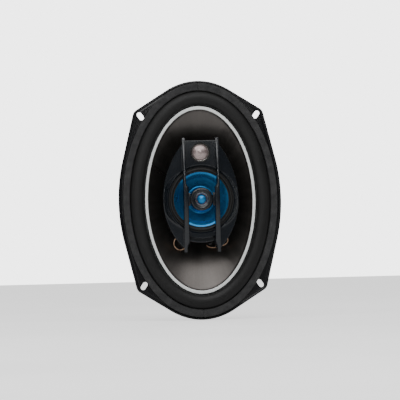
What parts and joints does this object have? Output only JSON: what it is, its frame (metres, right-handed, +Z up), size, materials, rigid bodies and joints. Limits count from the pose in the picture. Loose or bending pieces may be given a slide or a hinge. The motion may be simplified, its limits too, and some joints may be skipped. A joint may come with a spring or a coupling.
{
  "type": "coaxial car speaker",
  "caption": "Oval coaxial car speaker: steel basket, moving cone and voice coil, and a front pod with midrange, tweeter and super tweeter.",
  "frame": {"origin": "centre of the oval flange, on the plane of its rear edge, where it meets the panel", "axes": "+Z up along the oval's long axis, -Y out of the speaker's front, +Y towards the magnet, +X to the right seen from the front"},
  "size_m": [0.163, 0.1042, 0.239],
  "materials": {
    "black_steel": "glossy black paint",
    "gasket": "fibrous matte gasket board",
    "surround_rubber": "satin black rubber",
    "cone_film": "metallised grey-brown film, satin",
    "silver_trim": "matte silver",
    "former_film": "amber film",
    "copper": "enamelled copper",
    "spider_cloth": "resin-stiffened cloth",
    "plated_steel": "zinc plated",
    "ferrite": "ground ferrite",
    "terminal_board": "phenolic board",
    "brass": "bright brass",
    "copper_braid": "braided copper tinsel",
    "black_plastic": "black moulded plastic",
    "gloss_plastic": "glossy blue-black moulded plastic",
    "blue_film": "blue metallised film",
    "bezel_metal": "dark bright metal",
    "pearl_film": "pearl film",
    "capacitor_sleeve": "shrink sleeve",
    "cement": "glossy black cement"
  },
  "bodies": {
    "frame": {"basket": "black_steel", "front_gasket": "gasket", "surround": "surround_rubber", "spider": "spider_cloth", "top_plate": "plated_steel", "magnet": "ferrite", "pole_yoke": "plated_steel", "motor_rivets": "plated_steel", "terminal_board": "terminal_board", "terminal_rivets": "brass", "positive_terminal": "brass", "negative_terminal": "plated_steel", "rear_lead_positive": "copper_braid", "rear_lead_negative": "copper_braid", "pod_post": "brass", "post_screw": "plated_steel", "pod_screws": "plated_steel", "pod_base": "black_plastic", "pod_shield": "gloss_plastic", "fin_bridge": "gloss_plastic", "midrange_frame": "black_plastic", "midrange_surround": "surround_rubber", "midrange_top_plate": "plated_steel", "midrange_magnet": "ferrite", "midrange_yoke": "plated_steel", "tweeter_magnet": "plated_steel", "tweeter_yoke": "plated_steel", "tweeter_bezel": "bezel_metal", "super_tweeter_magnet": "plated_steel", "super_tweeter_yoke": "plated_steel", "super_tweeter_ring": "black_plastic", "crossover_capacitors": "capacitor_sleeve", "pod_lead_left": "copper_braid", "pod_lead_right": "copper_braid"},
    "main_cone": {"cone": "cone_film", "cone_trim_ring": "silver_trim", "voice_coil_former": "former_film", "voice_coil_winding": "copper", "lead_anchors": "cement"},
    "midrange_diaphragm": {"midrange_cone": "blue_film", "midrange_coil": "copper"},
    "tweeter_diaphragm": {"tweeter_dome": "blue_film", "tweeter_coil": "copper"},
    "super_tweeter_diaphragm": {"super_tweeter_dome": "pearl_film", "super_tweeter_coil": "copper"}
  },
  "joints": [
    {"name": "cone_travel", "type": "slide", "parent": "frame", "child": "main_cone", "axis": [0, -1, 0], "range_m": [-0.005, 0.005], "stiffness_N_per_m": 2200, "deforming": ["surround", "spider", "pod_lead_left", "pod_lead_right", "rear_lead_positive", "rear_lead_negative"]},
    {"name": "midrange_travel", "type": "slide", "parent": "frame", "child": "midrange_diaphragm", "axis": [0, -1, 0], "range_m": [-0.001, 0.001], "stiffness_N_per_m": 3000, "deforming": ["midrange_surround"]},
    {"name": "tweeter_travel", "type": "slide", "parent": "frame", "child": "tweeter_diaphragm", "axis": [0, -1, 0], "range_m": [-0.0003, 0.0003], "stiffness_N_per_m": 2000},
    {"name": "super_tweeter_travel", "type": "slide", "parent": "frame", "child": "super_tweeter_diaphragm", "axis": [0, -1, 0], "range_m": [-0.0002, 0.0002], "stiffness_N_per_m": 2000}
  ]
}
